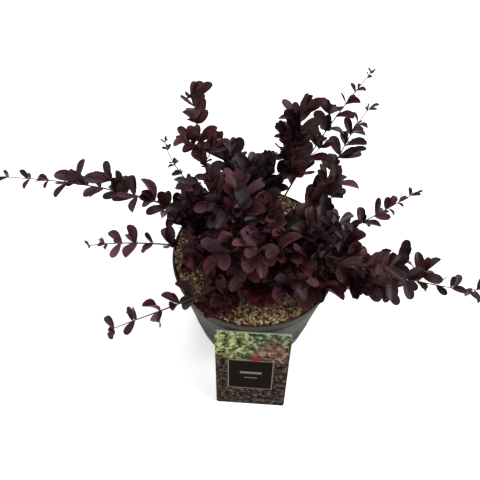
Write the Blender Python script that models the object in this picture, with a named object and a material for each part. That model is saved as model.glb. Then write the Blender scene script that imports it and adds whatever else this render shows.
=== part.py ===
"""A young Japanese barberry with dark purple leaves, in a round nursery pot with a label card.

The origin is the centre of the pot's flat underside, +Z is up and -Y is the side with the label.
Stems leave one low crown in the pot. Each stem is a bare tapering limb, then a mass of twigs and leaves.
"""

import math
import random
from collections import namedtuple

import bmesh
import bpy
import numpy as np
from mathutils import Matrix, Vector
from mathutils.kdtree import KDTree

MM = 0.001
GAP = 0.3 * MM
UP = Vector((0, 0, 1))

# Pot
POT_HEIGHT = 130 * MM
RIM_RADIUS = 85 * MM
BASE_RADIUS = 67.5 * MM
POT_WALL = 1.1 * MM
POT_FLOOR = 2.4 * MM
LIP_HEIGHT = 5 * MM
LIP_PROUD = 0.9 * MM
FOOT_BEVEL = 2 * MM
POT_STEPS = 36
DRAIN_HOLES = 8
DRAIN_RADIUS = 5 * MM
DRAIN_RING = 50 * MM

# Root ball and its top of wood chips
SOIL_EDGE = POT_HEIGHT - 2.5 * MM
SOIL_TOP = POT_HEIGHT - 2 * MM
SOIL_BUMP = 1.1 * MM
SOIL_RINGS = 6
SOIL_STEPS = 28
SOIL_PAD = 15 * MM

# Label card, leaning on the pot wall with its foot on the ground
CARD_WIDTH = 75 * MM
CARD_HEIGHT = 122 * MM
CARD_THICK = 0.8 * MM
CARD_LEAN = math.radians(16.3)
CARD_TURN = math.radians(-1.2)
CARD_SHIFT = 1.8 * MM

# Crown that the stems leave
CROWN_RADIUS = 11 * MM
CROWN_FLARE = 3 * MM
CROWN_FOOT = 5 * MM
CROWN_STEPS = 16
CROWN_SQUAT = 0.8

# Limbs
LIMB_FOOT = 1.5 * MM
LIMB_SIDES = 6
LIMB_STEP = 13 * MM
TIP_RADIUS = 0.38 * MM
CURVE_PULL = 0.36

# Twigs and leaves
TWIG_SIDES = 3
TWIG_STEP = 14 * MM
TWIG_FOOT = 0.62 * MM
GOLDEN = math.radians(137.5)
LEAF_WIDE = 0.54
LEAF_THICK = 0.03
FADE_FROM = 0.55
FADE_OVER = 0.35
LEAF_TRIES = 10
LEAVES_APART = 2.9 * MM
ROOT_STEP = 1.3 * MM
TWIG_TRIES = 3
FIRST_NODE = 5 * MM
END_NODE = 1.7 * MM

# Room kept between the masses, and round the limbs, the crown and the pot
CLEAR_MASS = 1.4 * MM
CLEAR_LIMB = 1.2 * MM
CLEAR_CROWN = 3 * MM
CLEAR_POT = 2.0 * MM
SAMPLE_STEP = 1.5 * MM
CROWN_MIDDLE = Vector((0, 0, SOIL_TOP + CROWN_FOOT))

# Points of a joined mass closer than this are made one
WELD = 0.0005 * MM

# Each stem: aim in degrees, reach and rise in mm of its tip from the crown, the angle and heading it leaves the
# crown at, the pitch and heading it ends on, the bare share of its length, the length in mm of its large leaves
# and of those at its tip, the mm between nodes, the leaves at a node, the chance and length in mm of a side twig
Stem = namedtuple(
    "Stem", "name aim reach rise climb veer pitch swing bare leaf tip_leaf step fan twiggy twig seed"
)

STEMS = (
    Stem("west_long", 171, 265, 59, 14, -19, 16, 22, 0.27, 25, 9, 17, 3, 0.04, 19, 45),
    Stem("west_low", 191, 158, 48, 19, 3, 0, 1, 0.46, 21, 6, 17, 2, 0.03, 20, 20),
    Stem("south_west_low", 218, 160, 17, 19, 33, 5, -8, 0.45, 21, 13, 20, 2, 0.00, 18, 17),
    Stem("north_west_fine", 136, 137, 64, 18, -9, 55, -28, 0.50, 10, 7, 14, 3, 0.03, 17, 63),
    Stem("north_west_tall", 140, 71, 161, 38, 10, 84, -39, 0.35, 20, 22, 15, 3, 0.27, 29, 52),
    Stem("north_tall", 117, 64, 78, 48, 6, 44, -6, 0.34, 23, 25, 11, 3, 0.27, 16, 50),
    Stem("north_east_inner", 62, 82, 127, 27, 23, 49, 23, 0.36, 23, 24, 13, 3, 0.55, 22, 31),
    Stem("north_east_tall", 47, 148, 144, 23, 15, 58, -32, 0.38, 23, 6, 15, 3, 0.66, 23, 66),
    Stem("north_east_outer", 46, 160, 100, 15, -27, 61, -38, 0.34, 27, 9, 14, 3, 0.08, 20, 21),
    Stem("east_fork", 12, 154, 66, 19, -25, 51, -14, 0.39, 18, 10, 15, 3, 0.03, 24, 6),
    Stem("east_long", -17, 204, 46, 47, -7, 5, 14, 0.33, 22, 13, 13, 3, 0.60, 29, 19),
    Stem("east_low", -16, 127, 13, 21, -21, 0, 11, 0.33, 24, 24, 16, 3, 0.19, 25, 44),
    Stem("south_west_front", -124, 81, 2, 25, -17, -24, -11, 0.29, 22, 19, 10, 3, 0.63, 20, 25),
    Stem("south_front", -86, 56, 27, 31, 9, -15, 10, 0.36, 26, 21, 14, 3, 0.51, 20, 93),
    Stem("south_east_front", -40, 85, 24, 16, -18, -31, -11, 0.33, 28, 27, 13, 3, 0.54, 19, 13),
    Stem("west_mound", -182, 62, 39, 43, 0, 10, -4, 0.23, 27, 26, 8, 3, 0.52, 13, 15),
    Stem("north_west_mound", 155, 58, 69, 63, 17, 34, 7, 0.20, 32, 24, 11, 4, 0.40, 30, 63),
    Stem("north_mound", 101, 37, 89, 73, 18, 60, 8, 0.27, 28, 29, 10, 4, 0.53, 25, 20),
    Stem("middle_left", -144, 23, 88, 71, 18, 54, -20, 0.22, 26, 31, 15, 4, 0.69, 16, 72),
    Stem("middle_right", -20, 8, 69, 84, -2, 70, 13, 0.26, 34, 27, 12, 4, 0.40, 24, 75),
    Stem("south_west_mound", -148, 60, 36, 47, 8, -11, 14, 0.33, 31, 27, 12, 5, 0.33, 27, 91),
    Stem("south_mound", -103, 43, 71, 56, 7, 47, -18, 0.30, 31, 29, 11, 4, 0.42, 32, 98),
    Stem("south_east_mound", -60, 62, 48, 49, -6, -17, 2, 0.31, 29, 25, 8, 4, 0.48, 33, 46),
    Stem("east_mound", -20, 66, 59, 65, -22, 9, 17, 0.20, 27, 24, 9, 4, 0.22, 30, 64),
    Stem("east_bank", -19, 95, 46, 37, 23, 26, -28, 0.30, 28, 24, 14, 4, 0.76, 24, 77),
    Stem("north_east_mound", 21, 73, 34, 37, 8, 18, 23, 0.31, 32, 26, 13, 5, 0.11, 22, 21),
    Stem("north_middle", 79, 55, 77, 49, 10, 11, 7, 0.43, 20, 18, 11, 3, 0.29, 23, 26),
    Stem("north_bank", 106, 64, 26, 18, -2, -4, 14, 0.34, 27, 24, 11, 4, 0.60, 24, 7),
)

# Base colour, roughness and metallic value
POT_PLASTIC = ("pot_plastic", (0.055, 0.07, 0.065), 0.5, 0.0)
SOIL_CHIPS = ("wood_chips", (0.30, 0.20, 0.11), 0.95, 0.0)
CARD_PRINT = ("printed_card", (0.16, 0.14, 0.08), 0.35, 0.0)
BARK = ("bark", (0.12, 0.065, 0.045), 0.8, 0.0)
LEAVES = ("purple_leaves", (0.05, 0.018, 0.025), 0.45, 0.0)


def clear_scene():
    for obj in list(bpy.data.objects):
        bpy.data.objects.remove(obj, do_unlink=True)


def material(name, colour, roughness, metallic):
    """The named Principled material, made once."""
    found = bpy.data.materials.get(name)
    if found:
        return found
    made = bpy.data.materials.new(name)
    made.use_nodes = True
    shader = made.node_tree.nodes["Principled BSDF"]
    shader.inputs["Base Color"].default_value = (*colour, 1)
    shader.inputs["Roughness"].default_value = roughness
    shader.inputs["Metallic"].default_value = metallic
    made.diffuse_color = (*colour, 1)
    return made


def add_object(name, mesh, finish):
    obj = bpy.data.objects.new(name, mesh)
    bpy.context.scene.collection.objects.link(obj)
    mesh.materials.clear()
    mesh.materials.append(material(*finish))
    return obj


def mesh_from(name, points, faces):
    mesh = bpy.data.meshes.new(name)
    mesh.from_pydata([tuple(p) for p in points], [], faces)
    mesh.validate()
    bm = bmesh.new()
    bm.from_mesh(mesh)
    bmesh.ops.recalc_face_normals(bm, faces=bm.faces)
    bm.to_mesh(mesh)
    bm.free()
    return mesh


def apply_modifiers(obj):
    """Replaces the object's mesh by its evaluated one and drops its modifiers."""
    graph = bpy.context.evaluated_depsgraph_get()
    mesh = bpy.data.meshes.new_from_object(obj.evaluated_get(graph))
    obj.modifiers.clear()
    obj.data = mesh


def turned(name, profile, steps, finish):
    """A solid of revolution from a profile that runs from the axis, down its outer side, back to the axis."""
    mesh = bpy.data.meshes.new(name)
    edges = [(i, i + 1) for i in range(len(profile) - 1)]
    mesh.from_pydata([(r, 0, z) for r, z in profile], edges, [])
    obj = add_object(name, mesh, finish)
    screw = obj.modifiers.new("turn", "SCREW")
    screw.steps = screw.render_steps = steps
    screw.use_merge_vertices = True
    screw.merge_threshold = 0.00005
    screw.use_smooth_shade = False
    return obj


def wall_radius(height):
    """Outer radius of the pot's tapered wall at a height."""
    return BASE_RADIUS + (RIM_RADIUS - LIP_PROUD - BASE_RADIUS) * height / POT_HEIGHT


def make_pot():
    inside = wall_radius(POT_FLOOR) - POT_WALL
    lip_foot = POT_HEIGHT - LIP_HEIGHT
    profile = [
        (0, POT_FLOOR),
        (inside, POT_FLOOR),
        (wall_radius(POT_HEIGHT) - POT_WALL, POT_HEIGHT - 0.5 * MM),
        (wall_radius(POT_HEIGHT) - 0.6 * MM, POT_HEIGHT),
        (RIM_RADIUS - 0.5 * MM, POT_HEIGHT),
        (RIM_RADIUS, POT_HEIGHT - 0.8 * MM),
        (RIM_RADIUS, lip_foot + 0.8 * MM),
        (wall_radius(lip_foot), lip_foot - 0.4 * MM),
        (wall_radius(FOOT_BEVEL), FOOT_BEVEL),
        (BASE_RADIUS - FOOT_BEVEL, 0),
        (0, 0),
    ]
    pot = turned("pot", profile, POT_STEPS, POT_PLASTIC)
    cutters = bmesh.new()
    for i in range(DRAIN_HOLES):
        turn = 2 * math.pi * (i + 0.5) / DRAIN_HOLES
        place = Matrix.Translation((DRAIN_RING * math.cos(turn), DRAIN_RING * math.sin(turn), 0))
        bmesh.ops.create_cone(
            cutters,
            cap_ends=True,
            segments=8,
            radius1=DRAIN_RADIUS,
            radius2=DRAIN_RADIUS,
            depth=4 * POT_FLOOR,
            matrix=place,
        )
    mesh = bpy.data.meshes.new("drain_cutter")
    cutters.to_mesh(mesh)
    cutters.free()
    cutter = add_object("drain_cutter", mesh, POT_PLASTIC)
    cutter.hide_render = True
    cutter.display_type = "WIRE"
    holes = pot.modifiers.new("drain holes", "BOOLEAN")
    holes.operation = "DIFFERENCE"
    holes.object = cutter
    return pot


def soil_height(radius, turn):
    """Height of the wood chips' surface: level under the crown, uneven towards the pot's wall."""
    outer = wall_radius(SOIL_EDGE) - POT_WALL - GAP
    share = max(0, radius - SOIL_PAD) / (outer - SOIL_PAD)
    bump = math.sin(3 * turn + 9 * share) + math.sin(5 * turn - 13 * share + 1.3)
    swell = math.sin(math.pi * min(1, share))
    return SOIL_TOP + (SOIL_EDGE - SOIL_TOP) * share**1.5 + SOIL_BUMP * bump * swell


def make_root_ball():
    """The filled inside of the pot, 0.3 mm clear of its wall and floor."""
    top_radius = wall_radius(SOIL_EDGE) - POT_WALL - GAP
    foot_radius = wall_radius(POT_FLOOR) - POT_WALL - GAP
    foot = POT_FLOOR + GAP
    rings = [SOIL_PAD + (top_radius - SOIL_PAD) * i / (SOIL_RINGS - 1) for i in range(SOIL_RINGS)]
    points = [(0, 0, SOIL_TOP)]
    for radius in rings:
        for k in range(SOIL_STEPS):
            turn = 2 * math.pi * k / SOIL_STEPS
            points.append((radius * math.cos(turn), radius * math.sin(turn), soil_height(radius, turn)))
    for k in range(SOIL_STEPS):
        turn = 2 * math.pi * k / SOIL_STEPS
        points.append((foot_radius * math.cos(turn), foot_radius * math.sin(turn), foot))
    points.append((0, 0, foot))
    last = len(points) - 1
    faces = []
    for k in range(SOIL_STEPS):
        after = (k + 1) % SOIL_STEPS
        faces.append((0, 1 + k, 1 + after))
        for ring in range(SOIL_RINGS):
            a = 1 + ring * SOIL_STEPS
            b = a + SOIL_STEPS
            faces.append((a + k, b + k, b + after, a + after))
        rim = 1 + SOIL_RINGS * SOIL_STEPS
        faces.append((rim + after, rim + k, last))
    return add_object("root_ball", mesh_from("root_ball", points, faces), SOIL_CHIPS)


def make_card():
    """A flat card whose top back edge is 0.3 mm off the pot wall, its foot just over the ground."""
    top = CARD_HEIGHT * math.cos(CARD_LEAN) + GAP
    mesh = bpy.data.meshes.new("label_card")
    bm = bmesh.new()
    bmesh.ops.create_cube(bm, size=1)
    bmesh.ops.scale(bm, vec=(CARD_WIDTH, CARD_THICK, CARD_HEIGHT), verts=bm.verts)
    bmesh.ops.translate(bm, vec=(0, -CARD_THICK / 2, -CARD_HEIGHT / 2), verts=bm.verts)
    bm.to_mesh(mesh)
    bm.free()
    obj = add_object("label_card", mesh, CARD_PRINT)
    tilt = Matrix.Rotation(-CARD_LEAN, 4, "X")
    place = Matrix.Translation((CARD_SHIFT, -wall_radius(top) - GAP, top))
    obj.matrix_world = place @ Matrix.Rotation(CARD_TURN, 4, "Z") @ tilt
    return obj


def make_crown():
    """A squat stock with a root flare, its flat foot on the wood chips and a domed top for the stems."""
    foot = SOIL_TOP + GAP
    profile = []
    for i in range(7):
        angle = math.pi / 2 * (1 - i / 6)
        profile.append(
            (CROWN_RADIUS * math.cos(angle), foot + CROWN_FOOT + CROWN_SQUAT * CROWN_RADIUS * math.sin(angle))
        )
    profile.append((CROWN_RADIUS + 0.35 * CROWN_FLARE, foot + 0.45 * CROWN_FOOT))
    profile.append((CROWN_RADIUS + CROWN_FLARE, foot))
    profile.append((0, foot))
    return turned("crown", profile, CROWN_STEPS, BARK)


def heading(turn, pitch):
    """Unit vector at a compass turn from +X and a pitch over the level, both in degrees."""
    a, b = math.radians(turn), math.radians(pitch)
    return Vector((math.cos(a) * math.cos(b), math.sin(a) * math.cos(b), math.sin(b)))


def start_heading(stem):
    """The way in which a stem leaves the crown."""
    return heading(stem.aim + stem.veer, stem.climb)


class Line:
    """A smooth line sampled by its length."""

    def __init__(self, corners, samples=90):
        a, b, c, d = corners
        self.points = []
        for i in range(samples + 1):
            t = i / samples
            u = 1 - t
            self.points.append(u**3 * a + 3 * u * u * t * b + 3 * u * t * t * c + t**3 * d)
        self.marks = [0.0]
        for p, q in zip(self.points, self.points[1:]):
            self.marks.append(self.marks[-1] + (q - p).length)
        self.length = self.marks[-1]

    def at(self, s):
        s = min(max(s, 0.0), self.length)
        k = max(1, int(np.searchsorted(self.marks, s)))
        k = min(k, len(self.points) - 1)
        share = (s - self.marks[k - 1]) / (self.marks[k] - self.marks[k - 1])
        return self.points[k - 1].lerp(self.points[k], share)

    def along(self, s):
        return (self.at(s + 1 * MM) - self.at(s - 1 * MM)).normalized()


def stem_line(stem):
    """The line of a whole stem, from the crown's dome to its tip."""
    start = start_heading(stem)
    centre = Vector((0, 0, SOIL_TOP + GAP + CROWN_FOOT))
    on_dome = Vector((start.x, start.y, CROWN_SQUAT * start.z)) * (CROWN_RADIUS + GAP)
    root = centre + on_dome + start * 0.25 * MM
    tip = Vector((0, 0, SOIL_TOP + stem.rise * MM)) + heading(stem.aim, 0) * stem.reach * MM
    pull = (tip - root).length * CURVE_PULL
    arrive = heading(stem.aim + stem.swing, stem.pitch)
    return Line((root, root + start * pull, tip - arrive * pull, tip))


def tube(points, radii, sides):
    """Points and faces of a closed tapering tube along a line."""
    along = [(b - a).normalized() for a, b in zip(points, points[1:])]
    along.append(along[-1])
    side = along[0].orthogonal().normalized()
    found, faces = [], []
    for i, (centre, radius) in enumerate(zip(points, radii)):
        way = (along[max(0, i - 1)] + along[i]).normalized()
        side = (side - way * side.dot(way)).normalized()
        other = way.cross(side)
        for k in range(sides):
            turn = 2 * math.pi * k / sides
            found.append(centre + (side * math.cos(turn) + other * math.sin(turn)) * radius)
    for i in range(len(points) - 1):
        for k in range(sides):
            after = (k + 1) % sides
            a, b = i * sides, (i + 1) * sides
            faces.append((a + k, a + after, b + after, b + k))
    faces.append(tuple(range(sides))[::-1])
    end = (len(points) - 1) * sides
    faces.append(tuple(end + k for k in range(sides)))
    return found, faces


Leaf = namedtuple("Leaf", "root way face length width")
Twig = namedtuple("Twig", "points radii")


def leaf_size(stem, share):
    """Length of the leaves at a share of a mass's length: it changes to that of the tip's leaves."""
    fade = min(1, max(0, (share - FADE_FROM) / FADE_OVER))
    return (stem.leaf * (1 - fade) + stem.tip_leaf * fade) * MM


def leaf_at(rng, root, tangent, turn, size):
    """A leaf that opens from a twig at a turn round it, lifts towards the light and faces up."""
    side = tangent.cross(UP)
    if side.length < 0.1:
        side = tangent.cross(Vector((1, 0, 0)))
    side.normalize()
    other = side.cross(tangent)
    outward = side * math.cos(turn) + other * math.sin(turn)
    opening = math.radians(rng.uniform(42, 82))
    way = tangent * math.cos(opening) + outward * math.sin(opening) + UP * rng.uniform(0.0, 0.5)
    way.normalize()
    wobble = Vector((rng.uniform(-1, 1), rng.uniform(-1, 1), 0)) * 0.35
    face = UP + wobble + outward * 0.25
    face = (face - way * face.dot(way)).normalized()
    width = size * LEAF_WIDE * rng.uniform(0.9, 1.15)
    return Leaf(root, way, face, size, width)


def add_leaf(rng, mass, root, tangent, turn, size):
    """Adds a leaf that keeps to the mass's space, after a few tries at other turns. Else it is skipped."""
    draws = random.Random(rng.random())
    for attempt in range(LEAF_TRIES):
        leaf = leaf_at(draws, root, tangent, turn + attempt * GOLDEN / 2, size * (1 - 0.04 * attempt))
        spots = samples_of_leaf(leaf)
        if mass.space.fits(spots) and mass.apart(spots):
            mass.leaves.append(leaf)
            mass.spots += [tuple(p) for p in spots]
            return


def cluster(rng, mass, root, tangent, turn, size, count):
    """The leaves of one node: two large ones, and smaller ones round the twig."""
    for i in range(count):
        scale = rng.uniform(0.88, 1.12) if i < 2 else rng.uniform(0.6, 0.95)
        around = turn + 2 * math.pi * i / count + rng.uniform(-0.4, 0.4)
        place = root + tangent * (i - (count - 1) / 2) * ROOT_STEP
        add_leaf(rng, mass, place, tangent, around, size * scale)


def twig_line(rng, root, tangent, turn, length):
    """A short line that leaves the stem at an angle and bends back towards its way and the light."""
    side = tangent.cross(UP).normalized()
    outward = side * math.cos(turn) + side.cross(tangent) * math.sin(turn)
    way = (tangent * 0.75 + outward * 0.8 + UP * 0.25).normalized()
    bend = (way + UP * 0.3 + tangent * 0.25).normalized()
    return Line(
        (root, root + way * length / 3, root + way * length * 2 / 3, root + (way + bend) * length / 2), 12
    )


def side_twig(rng, stem, mass, root, tangent, turn, share):
    """Adds a leafy twig at the first of a few turns where it keeps to the mass's space."""
    rng = random.Random(rng.random())
    length = stem.twig * MM * rng.uniform(0.7, 1.1) * (1 - 0.4 * share)
    for attempt in range(TWIG_TRIES):
        line = twig_line(rng, root, tangent, turn + attempt * GOLDEN, length)
        steps = max(2, round(length / TWIG_STEP))
        points = [line.at(line.length * k / steps) for k in range(steps + 1)]
        radii = [TWIG_FOOT + (TIP_RADIUS - TWIG_FOOT) * k / steps for k in range(steps + 1)]
        twig = Twig(points, radii)
        if mass.space.fits(samples_of_twig(twig)):
            break
    else:
        return
    mass.twigs.append(twig)
    size = leaf_size(stem, share) * 0.92
    s = stem.step * MM * 0.9
    around = turn + 1
    while s < line.length - 3 * MM:
        cluster(rng, mass, line.at(s), line.along(s), around, size, 2)
        around += GOLDEN
        s += stem.step * MM * rng.uniform(0.8, 1.1)
    cluster(rng, mass, line.at(line.length - END_NODE), line.along(line.length), around, size, 3)


class Mass:
    """What grows on one stem past its bare limb. The first twig is the stem itself."""

    def __init__(self, space):
        self.space = space
        self.twigs = []
        self.leaves = []
        self.spots = []

    def apart(self, spots):
        """Whether a leaf's points keep off the mass's other leaves."""
        if not self.spots:
            return True
        taken = np.array(self.spots)[None, :, :]
        mine = np.array(spots)[:, None, :]
        return ((mine - taken) ** 2).sum(-1).min() > LEAVES_APART**2


def grow(stem, line, space):
    """The mass of twigs and leaves of one stem."""
    rng = random.Random(stem.seed)
    begin = stem.bare * line.length + GAP
    grown = line.length - begin
    steps = max(3, round(grown / TWIG_STEP))
    foot = limb_radius(line, begin)
    points = [line.at(begin + grown * k / steps) for k in range(steps + 1)]
    radii = [foot + (TIP_RADIUS - foot) * (k / steps) ** 0.8 for k in range(steps + 1)]
    mass = Mass(space)
    mass.twigs.append(Twig(points, radii))
    turn = rng.uniform(0, 2 * math.pi)
    s = begin + FIRST_NODE
    while s < line.length - 2 * MM:
        share = (s - begin) / grown
        size = leaf_size(stem, share)
        count = stem.fan if share < FADE_FROM + FADE_OVER / 2 else min(2, stem.fan)
        cluster(rng, mass, line.at(s), line.along(s), turn, size, count)
        if rng.random() < stem.twiggy and share < 0.72:
            side_twig(rng, stem, mass, line.at(s + 2 * MM), line.along(s), turn + 2.2, share)
        turn += GOLDEN
        s += stem.step * MM * rng.uniform(0.8, 1.2)
    cluster(rng, mass, line.at(line.length - END_NODE), line.along(line.length), turn, leaf_size(stem, 1), 3)
    return mass


def limb_radius(line, s):
    """Radius of a stem at a distance from the crown."""
    return LIMB_FOOT + (TIP_RADIUS - LIMB_FOOT) * (s / line.length) ** 0.75


def leaf_outline(leaf):
    """The five outline points of a leaf, obovate with a blunt tip, and its middle."""
    across = leaf.face.cross(leaf.way)
    cup = leaf.face * leaf.length

    def spot(out, aside, lift):
        return leaf.root + leaf.way * leaf.length * out + across * leaf.width * aside + cup * lift

    outline = [
        leaf.root,
        spot(0.60, 0.5, 0.05),
        spot(0.96, 0.2, 0.0),
        spot(0.96, -0.2, 0.0),
        spot(0.60, -0.5, 0.05),
    ]
    return outline, spot(0.62, 0, 0.02)


def leaf_solid(leaf):
    outline, middle = leaf_outline(leaf)
    half = leaf.face * leaf.length * LEAF_THICK / 2
    points = outline + [middle + half, middle - half]
    count = len(outline)
    faces = []
    for k in range(count):
        after = (k + 1) % count
        faces.append((k, after, count))
        faces.append((after, k, count + 1))
    return points, faces


def samples_of_leaf(leaf):
    """A grid of points over a leaf, leaving out its sunk root."""
    outline, middle = leaf_outline(leaf)
    found = []
    for a, b in zip(outline, outline[1:] + outline[:1]):
        for t in (0.0, 0.34, 0.67):
            edge = a.lerp(b, t)
            for inward in (0.0, 0.33, 0.66):
                found.append(edge.lerp(middle, inward))
    found.append(middle)
    return [p for p in found if (p - leaf.root).length > 0.25 * leaf.length]


def distance_to_leaf(leaf, spot):
    return min((p - spot).length for p in samples_of_leaf(leaf) + [leaf.root])


def samples_of_twig(twig):
    found = []
    for a, b in zip(twig.points, twig.points[1:]):
        found += [a.lerp(b, t) for t in (0.25, 0.5, 0.75, 1.0)]
    return found[1:]


def tree_of(points):
    """A tree that finds the nearest of a set of points."""
    tree = KDTree(len(points))
    for i, p in enumerate(points):
        tree.insert(p, i)
    tree.balance()
    return tree


def nearest(tree, point):
    """Distance from a point to the nearest point of a tree."""
    return tree.find(point)[2]


def clear_of_pot(points):
    """Whether points keep off the pot, the wood chips and the card."""
    card_top = CARD_HEIGHT * math.cos(CARD_LEAN)
    for p in points:
        radius = math.hypot(p.x, p.y)
        if radius < RIM_RADIUS - 4 * MM:
            if p.z < SOIL_TOP + CLEAR_POT:
                return False
        elif radius < RIM_RADIUS + CLEAR_POT and p.z < POT_HEIGHT + CLEAR_POT:
            return False
        elif p.z < card_top + CLEAR_POT and p.y < 0 and abs(p.x - CARD_SHIFT) < CARD_WIDTH / 2 + 2 * CLEAR_POT:
            return False
    return True


class Space:
    """The room of one mass: nearer to its own stem than to any other, and clear of the limbs and the pot."""

    def __init__(self, own, others, wood):
        self.own = own
        self.others = others
        self.wood = wood

    def fits(self, points):
        for p in points:
            if nearest(self.others, p) - nearest(self.own, p) < CLEAR_MASS:
                return False
            if nearest(self.wood, p) < LIMB_FOOT + CLEAR_LIMB:
                return False
            if (p - CROWN_MIDDLE).length < CROWN_RADIUS + CLEAR_CROWN:
                return False
        return clear_of_pot(points)


def spaces(lines):
    """The space of each stem's mass."""
    axes, wood = [], []
    for stem, line in zip(STEMS, lines):
        end = stem.bare * line.length
        steps = int((line.length - end) / SAMPLE_STEP)
        axes.append([line.at(end + (line.length - end) * k / steps) for k in range(steps + 1)])
        steps = int(end / SAMPLE_STEP)
        wood += [line.at(end * k / steps) for k in range(steps + 1)]
    limbs = tree_of(wood)
    found = []
    for i, own in enumerate(axes):
        others = [p for k, axis in enumerate(axes) if k != i for p in axis]
        found.append(Space(tree_of(own), tree_of(others), limbs))
    return found


def make_limb(stem, line):
    end = stem.bare * line.length
    steps = max(3, round(end / LIMB_STEP))
    marks = [end * k / steps for k in range(steps + 1)]
    points, faces = tube([line.at(s) for s in marks], [limb_radius(line, s) for s in marks], LIMB_SIDES)
    limb = add_object("stem_" + stem.name, mesh_from(stem.name, points, faces), BARK)
    limb.data.shade_smooth()
    return limb


def largest_shell(mesh):
    """Keeps the mesh's largest closed shell, which drops scraps and fills any hollow sealed inside."""
    bm = bmesh.new()
    bm.from_mesh(mesh)
    left = set(bm.verts)
    shells = []
    while left:
        reached = {left.pop()}
        front = list(reached)
        while front:
            vert = front.pop()
            for edge in vert.link_edges:
                other = edge.other_vert(vert)
                if other not in reached:
                    reached.add(other)
                    front.append(other)
        left -= reached
        shells.append(reached)
    size = {id(s): len(s) for s in shells}
    for shell in sorted(shells, key=lambda s: -size[id(s)])[1:]:
        bmesh.ops.delete(bm, geom=list(shell), context="VERTS")
    bm.to_mesh(mesh)
    bm.free()


def welded(mesh):
    """Makes close points one, and gives the middles of the edges that no longer have two faces."""
    bm = bmesh.new()
    bm.from_mesh(mesh)
    bmesh.ops.remove_doubles(bm, verts=bm.verts, dist=WELD)
    bmesh.ops.triangulate(bm, faces=bm.faces)
    open_spots = [(e.verts[0].co + e.verts[1].co) / 2 for e in bm.edges if not e.is_manifold]
    open_spots += [v.co.copy() for v in bm.verts if not v.is_manifold]
    bm.to_mesh(mesh)
    bm.free()
    return open_spots


def joined(stem, growth):
    """One mesh of the stem's twigs with its leaves, from a Boolean union."""
    points, faces = tube(*growth.twigs[0], TWIG_SIDES)
    mass = add_object("leaves_" + stem.name, mesh_from(stem.name, points, faces), LEAVES)
    group = bpy.data.collections.new("growth")
    shapes = [tube(*twig, TWIG_SIDES) for twig in growth.twigs[1:]]
    shapes += [leaf_solid(leaf) for leaf in growth.leaves]
    for points, faces in shapes:
        piece = bpy.data.objects.new("growth", mesh_from("growth", points, faces))
        group.objects.link(piece)
    union = mass.modifiers.new("union", "BOOLEAN")
    union.operation = "UNION"
    union.operand_type = "COLLECTION"
    union.solver = "MANIFOLD"
    union.collection = group
    apply_modifiers(mass)
    for piece in list(group.objects):
        bpy.data.objects.remove(piece, do_unlink=True)
    bpy.data.collections.remove(group)
    largest_shell(mass.data)
    return mass


def make_mass(stem, growth):
    """The solid of one mass. A leaf at a spot where the joined skin isn't sound is dropped."""
    while True:
        mass = joined(stem, growth)
        spots = welded(mass.data)
        if not spots:
            break
        growth.leaves.remove(min(growth.leaves, key=lambda leaf: distance_to_leaf(leaf, spots[0])))
        bpy.data.objects.remove(mass, do_unlink=True)
    mass.data.materials.clear()
    mass.data.materials.append(material(*LEAVES))
    return mass


def main():
    clear_scene()
    make_pot()
    make_root_ball()
    make_card()
    make_crown()
    lines = [stem_line(stem) for stem in STEMS]
    for stem, line, space in zip(STEMS, lines, spaces(lines)):
        make_limb(stem, line)
        make_mass(stem, grow(stem, line, space))


main()
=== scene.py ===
"""Looks of a young Japanese barberry in a nursery pot with a label card.

The stems follow the rule and the named values that the solids follow, and are carried on to finer twigs,
spines and more leaves within the same reach. Metres, +Z up, the label's side is -Y.
"""

import random
from collections import namedtuple
from math import cos, exp, floor, hypot, pi, radians, sin

import bmesh
import bpy
import numpy as np
from mathutils import Matrix, Vector
from mathutils.kdtree import KDTree

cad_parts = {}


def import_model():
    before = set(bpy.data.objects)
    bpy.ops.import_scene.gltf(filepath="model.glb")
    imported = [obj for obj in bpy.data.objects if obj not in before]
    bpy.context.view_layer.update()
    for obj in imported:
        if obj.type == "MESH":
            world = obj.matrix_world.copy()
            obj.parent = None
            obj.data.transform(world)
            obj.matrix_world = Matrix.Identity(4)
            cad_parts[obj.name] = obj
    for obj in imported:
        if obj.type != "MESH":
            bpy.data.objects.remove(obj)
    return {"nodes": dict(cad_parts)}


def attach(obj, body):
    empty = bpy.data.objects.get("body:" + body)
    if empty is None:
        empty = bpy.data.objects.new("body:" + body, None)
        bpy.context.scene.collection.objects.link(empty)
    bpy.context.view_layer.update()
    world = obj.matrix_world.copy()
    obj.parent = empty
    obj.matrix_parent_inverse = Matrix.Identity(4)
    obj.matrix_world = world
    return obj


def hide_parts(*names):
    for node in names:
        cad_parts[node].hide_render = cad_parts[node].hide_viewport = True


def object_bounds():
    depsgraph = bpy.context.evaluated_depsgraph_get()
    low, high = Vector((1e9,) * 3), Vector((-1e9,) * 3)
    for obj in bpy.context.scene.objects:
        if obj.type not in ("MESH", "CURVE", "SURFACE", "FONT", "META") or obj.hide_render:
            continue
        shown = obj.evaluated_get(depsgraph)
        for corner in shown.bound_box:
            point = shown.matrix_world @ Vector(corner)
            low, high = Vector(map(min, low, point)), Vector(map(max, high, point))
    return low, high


MM = 0.001
GAP = 0.3 * MM
UP = Vector((0, 0, 1))

# Pot
POT_HEIGHT = 130 * MM
RIM_RADIUS = 85 * MM
BASE_RADIUS = 67.5 * MM
POT_WALL = 1.1 * MM
POT_FLOOR = 2.4 * MM
LIP_HEIGHT = 5 * MM
LIP_PROUD = 0.9 * MM
LIP_ROUND = 1.2 * MM
FOOT_BEVEL = 2 * MM
FLOOR_BEVEL = 2 * MM
DRAIN_HOLES = 8
DRAIN_RADIUS = 5 * MM
DRAIN_RING = 50 * MM

# Faint rings of the pot's wall: height and how far it stands proud, in mm
WALL_RINGS = ((112, 0), (110.5, 0.35), (110, 0), (34, 0), (33.5, 0.35), (32, 0))

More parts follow.
